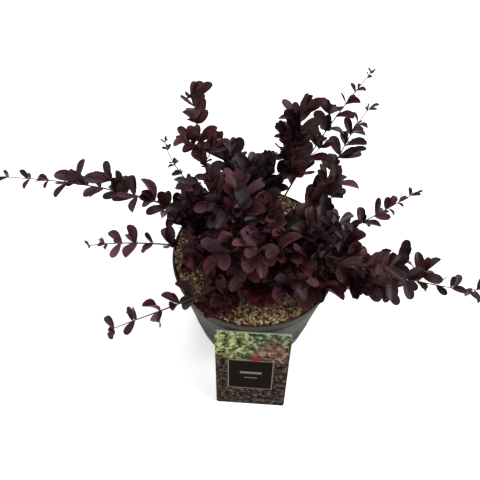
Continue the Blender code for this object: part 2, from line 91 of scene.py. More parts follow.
# Wood chips on the root ball
SOIL_EDGE = POT_HEIGHT - 2.5 * MM
SOIL_TOP = POT_HEIGHT - 2 * MM
SOIL_BUMP = 1.1 * MM
SOIL_PAD = 15 * MM
CHIP_BANK = 1.2 * MM

# Width and thickness of each shape of chip as shares of its length, and the stops of the chips' tones
CHIPS = ((0.34, 0.14), (0.22, 0.12), (0.5, 0.2), (0.16, 0.1))
CHIP_TONES = (
    (0.0, 0.055, 0.031, 0.016),
    (0.25, 0.165, 0.094, 0.048),
    (0.5, 0.35, 0.225, 0.122),
    (0.75, 0.54, 0.405, 0.245),
    (1.0, 0.76, 0.64, 0.45),
)

# Label card
CARD_WIDTH = 75 * MM
CARD_HEIGHT = 122 * MM
CARD_THICK = 0.8 * MM
CARD_LEAN = radians(16.3)
CARD_TURN = radians(-1.2)
CARD_SHIFT = 1.8 * MM
CARD_CORNER = 3 * MM

# Print of the card, whose flat map runs from 0 to 1 over the front, with the back's map aside of it. Each
# rectangle has its left, right, low and high edge
BACK_ASIDE = 2.0
# Height on the flat map where the painted highlight along the card's top edge begins
TOP_EDGE_HIGHLIGHT = 0.985
PANEL_FRAME = (0.17, 0.80, 0.24, 0.64)
PANEL = (0.185, 0.785, 0.249, 0.631)
WIDE_BAR = (0.34, 0.64, 0.455, 0.485)
THIN_BAR = (0.40, 0.58, 0.395, 0.405)
DOT_MIDDLE = (0.56, 0.655)
DOT_RADIUS = 0.032

# Crown and limbs
CROWN_RADIUS = 11 * MM
CROWN_FLARE = 3 * MM
CROWN_FOOT = 5 * MM
CROWN_SQUAT = 0.8
CROWN_MIDDLE = Vector((0, 0, SOIL_TOP + CROWN_FOOT))
LIMB_FOOT = 1.5 * MM
TIP_RADIUS = 0.38 * MM
CURVE_PULL = 0.36

# Twigs and leaves, as in the solids
TWIG_STEP = 14 * MM
TWIG_FOOT = 0.62 * MM
GOLDEN = radians(137.5)
LEAF_WIDE = 0.54
FADE_FROM = 0.55
FADE_OVER = 0.35
LEAF_TRIES = 10
LEAVES_APART = 2.9 * MM
ROOT_STEP = 1.3 * MM
TWIG_TRIES = 3
FIRST_NODE = 5 * MM
END_NODE = 1.7 * MM
CLEAR_MASS = 1.4 * MM
CLEAR_LIMB = 1.2 * MM
CLEAR_CROWN = 3 * MM
CLEAR_POT = 2.0 * MM
SAMPLE_STEP = 1.5 * MM

# Finer growth that only the looks have
MOUND_FAN = 4
MOUND_SCALE = 0.9
FINE_CELL = 1.6 * MM
FINE_SIZE = (0.55, 1.0)
FINE_TRIES = 5
LIMB_LEAFY = 0.45
FINE_FOOT = 1.2 * TIP_RADIUS
SPINE_LENGTH = 6 * MM
PAST_BOX = 3 * MM

# Cup and curl of each shape of leaf blade
BLADES = ((0.20, 0.02), (0.38, 0.10), (0.10, -0.10), (0.30, 0.20))

# Sizes of the bark on stems and on twigs
STEM_BARK = {"Sides": 10, "Step": 1.4 * MM, "Relief": 0.45, "Grain": 850.0}
TWIG_BARK = {"Sides": 6, "Step": 1.8 * MM, "Relief": 0.3, "Grain": 900.0}

# Seeds of the draws for blades, and what is added to a stem's seed for its thorns and colours
BLADE_DRAWS = 7
SPINE_DRAWS = 2000
COLOUR_DRAWS = 4000

# Camera: its place, its ways back and right, and its focal length over its width
CAMERA_PLACE = (0, -0.263, 0.5315)
CAMERA_BACK = (0.0324, -0.5682, 0.8222)
CAMERA_RIGHT = (0.9988, 0.0489, -0.0056)
CAMERA_FOCUS = 463.6 / 480

# Each stem: aim in degrees, reach and rise in mm of its tip from the crown, the angle and heading it leaves
# the crown at, the pitch and heading it ends on, the bare share of its length, the length in mm of its large
# leaves and of those at its tip, the mm between nodes, the leaves at a node, the chance and length in mm of
# a side twig
Stem = namedtuple(
    "Stem", "name aim reach rise climb veer pitch swing bare leaf tip_leaf step fan twiggy twig seed"
)

STEMS = (
    Stem("west_long", 171, 265, 59, 14, -19, 16, 22, 0.27, 25, 9, 17, 3, 0.04, 19, 45),
    Stem("west_low", 191, 158, 48, 19, 3, 0, 1, 0.46, 21, 6, 17, 2, 0.03, 20, 20),
    Stem("south_west_low", 218, 160, 17, 19, 33, 5, -8, 0.45, 21, 13, 20, 2, 0.00, 18, 17),
    Stem("north_west_fine", 136, 137, 64, 18, -9, 55, -28, 0.50, 10, 7, 14, 3, 0.03, 17, 63),
    Stem("north_west_tall", 140, 71, 161, 38, 10, 84, -39, 0.35, 20, 22, 15, 3, 0.27, 29, 52),
    Stem("north_tall", 117, 64, 78, 48, 6, 44, -6, 0.34, 23, 25, 11, 3, 0.27, 16, 50),
    Stem("north_east_inner", 62, 82, 127, 27, 23, 49, 23, 0.36, 23, 24, 13, 3, 0.55, 22, 31),
    Stem("north_east_tall", 47, 148, 144, 23, 15, 58, -32, 0.38, 23, 6, 15, 3, 0.66, 23, 66),
    Stem("north_east_outer", 46, 160, 100, 15, -27, 61, -38, 0.34, 27, 9, 14, 3, 0.08, 20, 21),
    Stem("east_fork", 12, 154, 66, 19, -25, 51, -14, 0.39, 18, 10, 15, 3, 0.03, 24, 6),
    Stem("east_long", -17, 204, 46, 47, -7, 5, 14, 0.33, 22, 13, 13, 3, 0.60, 29, 19),
    Stem("east_low", -16, 127, 13, 21, -21, 0, 11, 0.33, 24, 24, 16, 3, 0.19, 25, 44),
    Stem("south_west_front", -124, 81, 2, 25, -17, -24, -11, 0.29, 22, 19, 10, 3, 0.63, 20, 25),
    Stem("south_front", -86, 56, 27, 31, 9, -15, 10, 0.36, 26, 21, 14, 3, 0.51, 20, 93),
    Stem("south_east_front", -40, 85, 24, 16, -18, -31, -11, 0.33, 28, 27, 13, 3, 0.54, 19, 13),
    Stem("west_mound", -182, 62, 39, 43, 0, 10, -4, 0.23, 27, 26, 8, 3, 0.52, 13, 15),
    Stem("north_west_mound", 155, 58, 69, 63, 17, 34, 7, 0.20, 32, 24, 11, 4, 0.40, 30, 63),
    Stem("north_mound", 101, 37, 89, 73, 18, 60, 8, 0.27, 28, 29, 10, 4, 0.53, 25, 20),
    Stem("middle_left", -144, 23, 88, 71, 18, 54, -20, 0.22, 26, 31, 15, 4, 0.69, 16, 72),
    Stem("middle_right", -20, 8, 69, 84, -2, 70, 13, 0.26, 34, 27, 12, 4, 0.40, 24, 75),
    Stem("south_west_mound", -148, 60, 36, 47, 8, -11, 14, 0.33, 31, 27, 12, 5, 0.33, 27, 91),
    Stem("south_mound", -103, 43, 71, 56, 7, 47, -18, 0.30, 31, 29, 11, 4, 0.42, 32, 98),
    Stem("south_east_mound", -60, 62, 48, 49, -6, -17, 2, 0.31, 29, 25, 8, 4, 0.48, 33, 46),
    Stem("east_mound", -20, 66, 59, 65, -22, 9, 17, 0.20, 27, 24, 9, 4, 0.22, 30, 64),
    Stem("east_bank", -19, 95, 46, 37, 23, 26, -28, 0.30, 28, 24, 14, 4, 0.76, 24, 77),
    Stem("north_east_mound", 21, 73, 34, 37, 8, 18, 23, 0.31, 32, 26, 13, 5, 0.11, 22, 21),
    Stem("north_middle", 79, 55, 77, 49, 10, 11, 7, 0.43, 20, 18, 11, 3, 0.29, 23, 26),
    Stem("north_bank", 106, 64, 26, 18, -2, -4, 14, 0.34, 27, 24, 11, 4, 0.60, 24, 7),
)

# Each stem's looks: finer twigs at a node, their length in mm, the small leaves at a node, a seed, then the
# two tones of its leaves and the share of them that has the second
Look = namedtuple("Look", "twigs length leaves seed tone second share", defaults=("plum", "maroon", 0.4))

LOOKS = {
    "west_long": Look(0, 14, 1, 342),
    "west_low": Look(0, 6, 1, 760, "maroon", "rose", 0.4),
    "south_west_low": Look(0, 10, 1, 326),
    "north_west_fine": Look(0, 16, 2, 991, "slate_sky_sheen", "maroon", 0.4),
    "north_west_tall": Look(0, 16, 2, 317, "maroon", "plum", 0.5),
    "north_tall": Look(1, 16, 0, 46, "plum", "slate_sky_sheen", 0.45),
    "north_east_inner": Look(1, 8, 0, 988, "plum", "maroon", 0.5),
    "north_east_tall": Look(0, 12, 1, 43, "plum", "maroon", 0.5),
    "north_east_outer": Look(0, 8, 1, 43),
    "east_fork": Look(0, 12, 1, 176),
    "east_long": Look(0, 6, 1, 9),
    "east_low": Look(4, 10, 5, 33),
    "south_west_front": Look(4, 10, 4, 19, "wine", "maroon", 0.5),
    "south_front": Look(2, 6, 3, 57, "wine", "maroon", 0.6),
    "south_east_front": Look(0, 12, 4, 75),
    "west_mound": Look(4, 22, 4, 71, "plum", "slate_sky_sheen", 0.4),
    "north_west_mound": Look(4, 12, 5, 81, "maroon", "slate_sky_sheen", 0.5),
    "north_mound": Look(0, 22, 5, 85, "slate_sky_sheen", "plum", 0.4),
    "middle_left": Look(4, 26, 5, 70, "slate_sky_sheen", "maroon", 0.6),
    "middle_right": Look(4, 8, 1, 59, "rose", "plum", 0.4),
    "south_west_mound": Look(3, 24, 5, 50, "rose", "maroon", 0.45),
    "south_mound": Look(4, 26, 1, 90, "rose", "maroon", 0.45),
    "south_east_mound": Look(4, 16, 2, 50, "maroon", "plum", 0.5),
    "east_mound": Look(4, 26, 4, 35, "plum", "slate_sky_sheen", 0.35),
    "east_bank": Look(3, 6, 4, 61, "maroon", "plum", 0.5),
    "north_east_mound": Look(2, 24, 4, 67, "plum", "slate_sky_sheen", 0.4),
    "north_middle": Look(4, 6, 5, 56, "slate_sky_sheen", "plum", 0.4),
    "north_bank": Look(4, 24, 4, 20, "plum", "maroon", 0.5),
}

# Leaf colours, as linear light
TONES = {
    "plum": (0.028, 0.0076, 0.0102),
    "maroon": (0.045, 0.0082, 0.0125),
    "wine": (0.055, 0.0055, 0.0085),
    "rose": (0.064, 0.0225, 0.0300),
    # The slate tone is a painted reflection: a grey-blue base colour that stands for the bright sky's sheen
    # on glossy leaves.
    "slate_sky_sheen": (0.031, 0.0235, 0.0295),
}

# The first stems are the long sprays, the next ones the front, and the rest the mounds
SPRAYS = 12
FRONTS = 18


# Stem rule, as in the solids


def heading(turn, pitch):
    """Unit vector at a compass turn from +X and a pitch over the level, both in degrees."""
    a, b = radians(turn), radians(pitch)
    return Vector((cos(a) * cos(b), sin(a) * cos(b), sin(b)))


class Line:
    """A smooth line sampled by its length."""

    def __init__(self, corners, samples=90):
        a, b, c, d = corners
        self.points = []
        for i in range(samples + 1):
            t = i / samples
            u = 1 - t
            self.points.append(u**3 * a + 3 * u * u * t * b + 3 * u * t * t * c + t**3 * d)
        self.marks = [0.0]
        for p, q in zip(self.points, self.points[1:]):
            self.marks.append(self.marks[-1] + (q - p).length)
        self.length = self.marks[-1]

    def at(self, s):
        s = min(max(s, 0.0), self.length)
        k = min(max(1, int(np.searchsorted(self.marks, s))), len(self.points) - 1)
        share = (s - self.marks[k - 1]) / (self.marks[k] - self.marks[k - 1])
        return self.points[k - 1].lerp(self.points[k], share)

    def along(self, s):
        return (self.at(s + 1 * MM) - self.at(s - 1 * MM)).normalized()


def stem_line(stem):
    """The line of a whole stem, from the crown's dome to its tip."""
    start = heading(stem.aim + stem.veer, stem.climb)
    centre = Vector((0, 0, SOIL_TOP + GAP + CROWN_FOOT))
    on_dome = Vector((start.x, start.y, CROWN_SQUAT * start.z)) * (CROWN_RADIUS + GAP)
    root = centre + on_dome + start * 0.25 * MM
    tip = Vector((0, 0, SOIL_TOP + stem.rise * MM)) + heading(stem.aim, 0) * stem.reach * MM
    pull = (tip - root).length * CURVE_PULL
    arrive = heading(stem.aim + stem.swing, stem.pitch)
    return Line((root, root + start * pull, tip - arrive * pull, tip))


def wall_radius(height):
    """Outer radius of the pot's tapered wall at a height."""
    return BASE_RADIUS + (RIM_RADIUS - LIP_PROUD - BASE_RADIUS) * height / POT_HEIGHT


def soil_height(radius, turn):
    """Height of the wood chips' surface."""
    outer = wall_radius(SOIL_EDGE) - POT_WALL - GAP
    share = max(0, radius - SOIL_PAD) / (outer - SOIL_PAD)
    bump = sin(3 * turn + 9 * share) + sin(5 * turn - 13 * share + 1.3)
    swell = sin(pi * min(1, share))
    return SOIL_TOP + (SOIL_EDGE - SOIL_TOP) * share**1.5 + SOIL_BUMP * bump * swell


Leaf = namedtuple("Leaf", "root way face length width")
Twig = namedtuple("Twig", "points radii")
Node = namedtuple("Node", "root tangent turn size")
Spine = namedtuple("Spine", "root way length")


def leaf_size(stem, share):
    """Length of the leaves at a share of a mass's length."""
    fade = min(1, max(0, (share - FADE_FROM) / FADE_OVER))
    return (stem.leaf * (1 - fade) + stem.tip_leaf * fade) * MM


def leaf_at(rng, root, tangent, turn, size):
    """A leaf that opens from a twig at a turn round it, lifts towards the light and faces up."""
    side = tangent.cross(UP)
    if side.length < 0.1:
        side = tangent.cross(Vector((1, 0, 0)))
    side.normalize()
    other = side.cross(tangent)
    outward = side * cos(turn) + other * sin(turn)
    opening = radians(rng.uniform(42, 82))
    way = tangent * cos(opening) + outward * sin(opening) + UP * rng.uniform(0.0, 0.5)
    way.normalize()
    wobble = Vector((rng.uniform(-1, 1), rng.uniform(-1, 1), 0)) * 0.35
    face = UP + wobble + outward * 0.25
    face = (face - way * face.dot(way)).normalized()
    width = size * LEAF_WIDE * rng.uniform(0.9, 1.15)
    return Leaf(root, way, face, size, width)


def add_leaf(rng, mass, root, tangent, turn, size):
    """Adds a leaf that keeps to the mass's space, after a few tries at other turns. Else it is skipped."""
    draws = random.Random(rng.random())
    for attempt in range(LEAF_TRIES):
        leaf = leaf_at(draws, root, tangent, turn + attempt * GOLDEN / 2, size * (1 - 0.04 * attempt))
        spots = samples_of_leaf(leaf)
        if mass.space.fits(spots) and mass.apart(spots):
            mass.leaves.append(leaf)
            mass.spots += [tuple(p) for p in spots]
            return


def cluster(rng, mass, root, tangent, turn, size, count):
    """The leaves of one node: two large ones, and smaller ones round the twig."""
    mass.nodes.append(Node(root, tangent, turn, size))
    for i in range(count):
        scale = rng.uniform(0.88, 1.12) if i < 2 else rng.uniform(0.6, 0.95)
        around = turn + 2 * pi * i / count + rng.uniform(-0.4, 0.4)
        place = root + tangent * (i - (count - 1) / 2) * ROOT_STEP
        add_leaf(rng, mass, place, tangent, around, size * scale)


def twig_line(root, tangent, turn, length):
    """A short line that leaves the stem at an angle and bends back towards its way and the light."""
    side = tangent.cross(UP).normalized()
    outward = side * cos(turn) + side.cross(tangent) * sin(turn)
    way = (tangent * 0.75 + outward * 0.8 + UP * 0.25).normalized()
    bend = (way + UP * 0.3 + tangent * 0.25).normalized()
    return Line(
        (root, root + way * length / 3, root + way * length * 2 / 3, root + (way + bend) * length / 2), 12
    )


def twig_on(line, length, foot):
    """A tapering twig on a line."""
    steps = max(2, round(length / TWIG_STEP))
    points = [line.at(line.length * k / steps) for k in range(steps + 1)]
    radii = [foot + (TIP_RADIUS - foot) * k / steps for k in range(steps + 1)]
    return Twig(points, radii)


def side_twig(rng, stem, mass, root, tangent, turn, share):
    """Adds a leafy twig at the first of a few turns where it keeps to the mass's space."""
    rng = random.Random(rng.random())
    length = stem.twig * MM * rng.uniform(0.7, 1.1) * (1 - 0.4 * share)
    for attempt in range(TWIG_TRIES):
        line = twig_line(root, tangent, turn + attempt * GOLDEN, length)
        twig = twig_on(line, length, TWIG_FOOT)
        if mass.space.fits(samples_of_twig(twig)):
            break
    else:
        return
    mass.twigs.append(twig)
    size = leaf_size(stem, share) * 0.92
    s = stem.step * MM * 0.9
    around = turn + 1
    while s < line.length - 3 * MM:
        cluster(rng, mass, line.at(s), line.along(s), around, size, 2)
        around += GOLDEN
        s += stem.step * MM * rng.uniform(0.8, 1.1)
    cluster(rng, mass, line.at(line.length - END_NODE), line.along(line.length), around, size, 3)


class Mass:
    """What grows on one stem past its bare limb."""

    def __init__(self, space):
        self.space = space
        self.twigs, self.leaves, self.nodes, self.spots = [], [], [], []

    def apart(self, spots):
        """Whether a leaf's points keep off the mass's other leaves."""
        if not self.spots:
            return True
        taken, mine = np.array(self.spots)[None, :, :], np.array(spots)[:, None, :]
        return ((mine - taken) ** 2).sum(-1).min() > LEAVES_APART**2


def grow(stem, line, space):
    """The mass of twigs and leaves of one stem, as in the solids."""
    rng = random.Random(stem.seed)
    begin = stem.bare * line.length + GAP
    grown = line.length - begin
    mass = Mass(space)
    turn = rng.uniform(0, 2 * pi)
    s = begin + FIRST_NODE
    while s < line.length - 2 * MM:
        share = (s - begin) / grown
        size = leaf_size(stem, share)
        count = stem.fan if share < FADE_FROM + FADE_OVER / 2 else min(2, stem.fan)
        cluster(rng, mass, line.at(s), line.along(s), turn, size, count)
        if rng.random() < stem.twiggy and share < 0.72:
            side_twig(rng, stem, mass, line.at(s + 2 * MM), line.along(s), turn + 2.2, share)
        turn += GOLDEN
        s += stem.step * MM * rng.uniform(0.8, 1.2)
    cluster(rng, mass, line.at(line.length - END_NODE), line.along(line.length), turn, leaf_size(stem, 1), 3)
    return mass


def samples_of_leaf(leaf):
    """A grid of points over a leaf of five corners, leaving out its root."""
    across = leaf.face.cross(leaf.way)
    cup = leaf.face * leaf.length

    def spot(out, aside, lift):
        return leaf.root + leaf.way * leaf.length * out + across * leaf.width * aside + cup * lift

    corners = ((0.60, 0.5, 0.05), (0.96, 0.2, 0.0), (0.96, -0.2, 0.0), (0.60, -0.5, 0.05))
    outline = [leaf.root] + [spot(*corner) for corner in corners]
    middle = spot(0.62, 0, 0.02)
    sides = zip(outline, outline[1:] + outline[:1])
    edge = [a.lerp(b, t) for a, b in sides for t in (0.0, 0.34, 0.67)]
    found = [p.lerp(middle, inward) for p in edge for inward in (0.0, 0.33, 0.66)] + [middle]
    return [p for p in found if (p - leaf.root).length > 0.25 * leaf.length]


def samples_of_twig(twig):
    pairs = zip(twig.points, twig.points[1:])
    return [a.lerp(b, t) for a, b in pairs for t in (0.25, 0.5, 0.75, 1.0)][1:]


def tree_of(points):
    """A tree that finds the nearest of a set of points."""
    tree = KDTree(len(points))
    for i, p in enumerate(points):
        tree.insert(p, i)
    tree.balance()
    return tree


def nearest(tree, point):
    """Distance from a point to the nearest point of a tree."""
    return tree.find(point)[2]


def clear_of_pot(points):
    """Whether points keep off the pot, the wood chips and the card."""
    card_top = CARD_HEIGHT * cos(CARD_LEAN)
    for p in points:
        radius = hypot(p.x, p.y)
        if radius < RIM_RADIUS - 4 * MM:
            if p.z < SOIL_TOP + CLEAR_POT:
                return False
        elif radius < RIM_RADIUS + CLEAR_POT and p.z < POT_HEIGHT + CLEAR_POT:
            return False
        elif p.z < card_top + CLEAR_POT and p.y < 0:
            if abs(p.x - CARD_SHIFT) < CARD_WIDTH / 2 + 2 * CLEAR_POT:
                return False
    return True


class Space(namedtuple("Space", "own others wood")):
    """The room of one mass: nearer to its own stem than to any other, and clear of the limbs and the pot."""

    def fits(self, points):
        for p in points:
            if nearest(self.others, p) - nearest(self.own, p) < CLEAR_MASS:
                return False
            if nearest(self.wood, p) < LIMB_FOOT + CLEAR_LIMB:
                return False
            if (p - CROWN_MIDDLE).length < CROWN_RADIUS + CLEAR_CROWN:
                return False
        return clear_of_pot(points)


def spaces(lines):
    """The space of each stem's mass."""

    def sampled(line, start, end):
        steps = int((end - start) / SAMPLE_STEP)
        return [line.at(start + (end - start) * k / steps) for k in range(steps + 1)]

    axes, wood = [], []
    for stem, line in zip(STEMS, lines):
        end = stem.bare * line.length
        axes.append(sampled(line, end, line.length))
        wood += sampled(line, 0, end)
    limbs = tree_of(wood)
    found = []
    for i, own in enumerate(axes):
        others = [p for k, axis in enumerate(axes) if k != i for p in axis]
        found.append(Space(tree_of(own), tree_of(others), limbs))
    return found


# Finer growth


def few_samples(leaf):
    """Points along a leaf's middle and on both its sides."""
    across = leaf.face.cross(leaf.way) * leaf.width / 2
    found = []
    for out, wide in ((0.35, 0.5), (0.55, 0.9), (0.75, 0.9), (0.95, 0.4)):
        middle = leaf.root + leaf.way * leaf.length * out
        found += [middle, middle + across * wide, middle - across * wide]
    return found


def cells(points):
    """The small cells of space that points lie in."""
    return {tuple(floor(c / FINE_CELL) for c in p) for p in points}


def fine_leaf(rng, mass, taken, root, tangent, turn, size):
    """Adds a leaf in cells that aren't taken yet, after a few tries at other turns."""
    for attempt in range(FINE_TRIES):
        leaf = leaf_at(rng, root, tangent, turn + attempt * GOLDEN / 2, size * (1 - 0.06 * attempt))
        spots = few_samples(leaf)
        if not cells(spots) & taken and mass.space.fits(spots):
            mass.leaves.append(leaf)
            taken.update(cells(spots))
            return


def limb_nodes(stem, line, size):
    """Nodes on the upper part of the limb, below the mass."""
    found = []
    end = stem.bare * line.length
    s = end * LIMB_LEAFY
    turn = stem.seed
    while s < end:
        found.append(Node(line.at(s), line.along(s), turn, size))
        turn += GOLDEN
        s += stem.step * MM
    return found


def finer_growth(stem, line, mass):
    """Finer twigs with leaves of their own, and more leaves at each node, in the room that is left."""
    look = LOOKS[stem.name]
    rng = random.Random(look.seed)
    taken = set().union(*(cells(few_samples(leaf)) for leaf in mass.leaves))
    size = stem.leaf * MM * (MOUND_SCALE if stem.fan >= MOUND_FAN else 1)
    for node in limb_nodes(stem, line, size) + mass.nodes:
        for i in range(look.twigs):
            length = look.length * MM * rng.uniform(0.6, 1.15)
            fine = twig_line(node.root, node.tangent, node.turn + GOLDEN * (i + 0.5), length)
            twig = twig_on(fine, length, FINE_FOOT)
            if not mass.space.fits(samples_of_twig(twig)):
                continue
            mass.twigs.append(twig)
            for share, count in ((0.5, 2), (0.97, 3)):
                place, way = fine.at(fine.length * share), fine.along(fine.length * share)
                for k in range(count):
                    turn = node.turn + GOLDEN * k + i
                    fine_leaf(rng, mass, taken, place, way, turn, node.size * rng.uniform(*FINE_SIZE))
        for i in range(look.leaves):
            place = node.root + node.tangent * rng.uniform(-3, 3) * MM
            turn = node.turn + GOLDEN * (i + 0.7)
            fine_leaf(rng, mass, taken, place, node.tangent, turn, node.size * rng.uniform(*FINE_SIZE))


def in_box(leaf, box):
    """Whether a leaf's tip keeps close to the box of the solids."""
    tip = leaf.root + leaf.way * leaf.length
    return all(low - PAST_BOX < place < high + PAST_BOX for low, place, high in zip(box[0], tip, box[1]))


def full_growth(stem, line, space, box):
    """The mass as the solids have it, with the mounds' large leaves at life size, and all that is finer."""
    mass = grow(stem, line, space)
    if stem.fan >= MOUND_FAN:
        for i, leaf in enumerate(mass.leaves):
            mass.leaves[i] = leaf._replace(length=leaf.length * MOUND_SCALE, width=leaf.width * MOUND_SCALE)
        mass.nodes = [node._replace(size=node.size * MOUND_SCALE) for node in mass.nodes]
    finer_growth(stem, line, mass)
    mass.leaves = [leaf for leaf in mass.leaves if in_box(leaf, box)]
    return mass


def spines(stem, mass):
    """One sharp thorn under each node."""
    rng = random.Random(stem.seed + SPINE_DRAWS)
    found = []
    for node in mass.nodes:
        side = node.tangent.orthogonal().normalized()
        side.rotate(Matrix.Rotation(rng.uniform(0, 2 * pi), 3, node.tangent))
        way = (side + node.tangent * 0.35).normalized()
        spine = Spine(node.root - node.tangent * MM, way, SPINE_LENGTH * rng.uniform(0.6, 1.1))
        if mass.space.fits([spine.root + way * spine.length]):
            found.append(spine)
    return found


# Helpers for nodes


def operation(name, swapped=False):
    """A method that adds a Math node for a value and another one."""

    def work(self, other=0.0):
        a, b = (other, self) if swapped else (self, other)
        return put(self.tree, "ShaderNodeMath", {0: a, 1: b}, operation=name)

    return work


class Value:
    """What an output of a node carries. Arithmetic with it adds Math nodes to the same tree."""

    def __init__(self, socket):
        self.socket = socket
        self.tree = socket.id_data

    __add__ = operation("ADD")
    __sub__ = operation("SUBTRACT")
    __rsub__ = operation("SUBTRACT", swapped=True)
    __mul__ = operation("MULTIPLY")
    __truediv__ = operation("DIVIDE")
    __pow__ = operation("POWER")
    __gt__ = operation("GREATER_THAN")
    __lt__ = operation("LESS_THAN")
    __abs__ = operation("ABSOLUTE")
    sine = operation("SINE")
    cosine = operation("COSINE")
    at_least = operation("MAXIMUM")
    at_most = operation("MINIMUM")


def feed(node, inputs):
    """Links each Value that is given for a node's input, and sets all else."""
    for key, given in inputs.items():
        if isinstance(given, Value):
            given.tree.links.new(given.socket, node.inputs[key])
        else:
            node.inputs[key].default_value = given


def put(tree, kind, inputs=None, output=0, **settings):
    """What a new node gives at one output."""
    node = tree.nodes.new(kind)
    for key, setting in settings.items():
        setattr(node, key, setting)
    feed(node, inputs or {})
    return Value(node.outputs[output])


def split(place):
    """The three numbers of a place."""
    parts = put(place.tree, "ShaderNodeSeparateXYZ", {0: place}).socket.node.outputs
    return [Value(part) for part in parts]


def vector_of(how, a, b):
    """The vector that a Vector Math node makes of a value and a plain vector."""
    return put(a.tree, "ShaderNodeVectorMath", {0: a, 1: b}, operation=how)


def noise(place, scale, detail=3.0, roughness=0.5, output=0):
    inputs = {"Vector": place, "Scale": scale, "Detail": detail, "Roughness": roughness}
    return put(place.tree, "ShaderNodeTexNoise", inputs, output)


def ramp(factor, *stops):
    """The colour of a ramp whose stops are a position with red, green and blue."""
    colour = put(factor.tree, "ShaderNodeValToRGB", {0: factor})
    elements = colour.socket.node.color_ramp.elements
    while len(elements) < len(stops):
        elements.new(0.5)
    for element, (place, *shade) in zip(elements, stops):
        element.position = place
        element.color = (*shade, 1)
    return colour


def rising(value, low, high):
    """0 at the low end, 1 at the high end, and even between them."""
    return put(value.tree, "ShaderNodeMapRange", {0: value, 1: low, 2: high})


def stretched(place, *scale):
    return put(place.tree, "ShaderNodeMapping", {0: place, "Scale": scale})


def blended(factor, a, b, mode="MIX"):
    """The colour that a Mix node makes of a colour and another, which may be a plain one."""
    b = b if isinstance(b, Value) else (*b, 1)
    return put(a.tree, "ShaderNodeMix", {0: factor, 6: a, 7: b}, 2, data_type="RGBA", blend_type=mode)


def new_material(name, roughness, specular):
    """A Principled material, its tree and the Object coordinates."""
    made = bpy.data.materials.new(name)
    made.use_nodes = True
    tree = made.node_tree
    feed(tree.nodes["Principled BSDF"], {"Roughness": roughness, "Specular IOR Level": specular})
    return made, tree, put(tree, "ShaderNodeTexCoord", output="Object")


def coat(made, colour, relief, strength, depth, roughness=None):
    """Gives a material its colour, its relief and, where it varies, its roughness."""
    tree = made.node_tree
    normal = put(tree, "ShaderNodeBump", {"Strength": strength, "Distance": depth, "Height": relief})
    varied = {"Roughness": roughness} if roughness else {}
    feed(tree.nodes["Principled BSDF"], {"Base Color": colour, "Normal": normal, **varied})
    return made


def growing_tree(name, sizes):
    """A Geometry Nodes tree with one geometry in and out, and named inputs for its sizes and material."""
    tree = bpy.data.node_groups.new(name, "GeometryNodeTree")
    face = tree.interface
    face.new_socket("Geometry", in_out="INPUT", socket_type="NodeSocketGeometry")
    for label, value in sizes.items():
        kind = "NodeSocketInt" if isinstance(value, int) else "NodeSocketFloat"
        face.new_socket(label, in_out="INPUT", socket_type=kind).default_value = value
    face.new_socket("Material", in_out="INPUT", socket_type="NodeSocketMaterial")
    face.new_socket("Geometry", in_out="OUTPUT", socket_type="NodeSocketGeometry")
    given = {socket.name: Value(socket) for socket in tree.nodes.new("NodeGroupInput").outputs}
    return tree, given


def finish_tree(given, shape):
    """Realizes the shape, shades it smooth, gives it its material and sends it out."""
    tree = shape.tree
    for kind in ("GeometryNodeRealizeInstances", "GeometryNodeSetShadeSmooth"):
        shape = put(tree, kind, {0: shape})
    shape = put(tree, "GeometryNodeSetMaterial", {0: shape, "Material": given["Material"]})
    feed(tree.nodes.new("NodeGroupOutput"), {0: shape})
    return tree


def gathered(shapes):
    """Several shapes as one set, from which a point picks its own."""
    join = shapes[0].tree.nodes.new("GeometryNodeJoinGeometry")
    for shape in shapes:
        feed(join, {0: put(shape.tree, "GeometryNodeGeometryToInstance", {0: shape})})
    return Value(join.outputs[0])


def set_out(given, points, shape, turn, size, pick=None):
    """Ends a tree with a shape at each point, turned, sized and, where there are several, picked."""
    inputs = {"Points": points, "Instance": shape, "Rotation": turn, "Scale": size}
    if pick:
        inputs |= {"Pick Instance": True, "Instance Index": pick}
    return finish_tree(given, put(points.tree, "GeometryNodeInstanceOnPoints", inputs))


def attribute(tree, name, kind="FLOAT"):
    """A named attribute's value."""
    return put(tree, "GeometryNodeInputNamedAttribute", {"Name": name}, "Attribute", data_type=kind)


# Helpers for meshes


def linked(name, data):
    """A new object in the scene."""
    made = bpy.data.objects.new(name, data)
    bpy.context.scene.collection.objects.link(made)
    return made


def new_mesh(name, points, edges=(), faces=()):
    mesh = bpy.data.meshes.new(name)
    mesh.from_pydata([tuple(p) for p in points], list(edges), list(faces))
    return mesh


def add_piece(name, mesh, material):
    mesh.materials.clear()
    mesh.materials.append(material)
    return linked(name, mesh)


def source_of(name, points, edges=(), faces=(), **values):
    """A source object whose points carry named numbers, vectors or colours."""
    mesh = new_mesh(name, points, edges, faces)
    kinds = {1: ("FLOAT", "value"), 3: ("FLOAT_VECTOR", "vector"), 4: ("FLOAT_COLOR", "color")}
    for label, items in values.items():
        flat = np.array(items, np.float32).ravel()
        kind, field = kinds[len(flat) // len(points)]
        mesh.attributes.new(label, kind, "POINT").data.foreach_set(field, flat)
    return linked(name, mesh)


def taken_from(source):
    """The plain mesh that an object's modifiers give. The object itself is removed."""
    graph = bpy.context.evaluated_depsgraph_get()
    mesh = bpy.data.meshes.new_from_object(source.evaluated_get(graph))
    source.modifiers.clear()
    bpy.data.objects.remove(source, do_unlink=True)
    return mesh


def grown(name, source, tree, material, **sizes):
    """The plain mesh piece that a tree grows from a source object."""
    modifier = source.modifiers.new("growth", "NODES")
    modifier.node_group = tree
    given = dict(sizes, Material=material)
    for item in tree.interface.items_tree:
        if item.in_out == "INPUT" and item.name in given:
            modifier[item.identifier] = given[item.name]
    mesh = taken_from(source)
    mesh.name = name
    return linked(name, mesh)


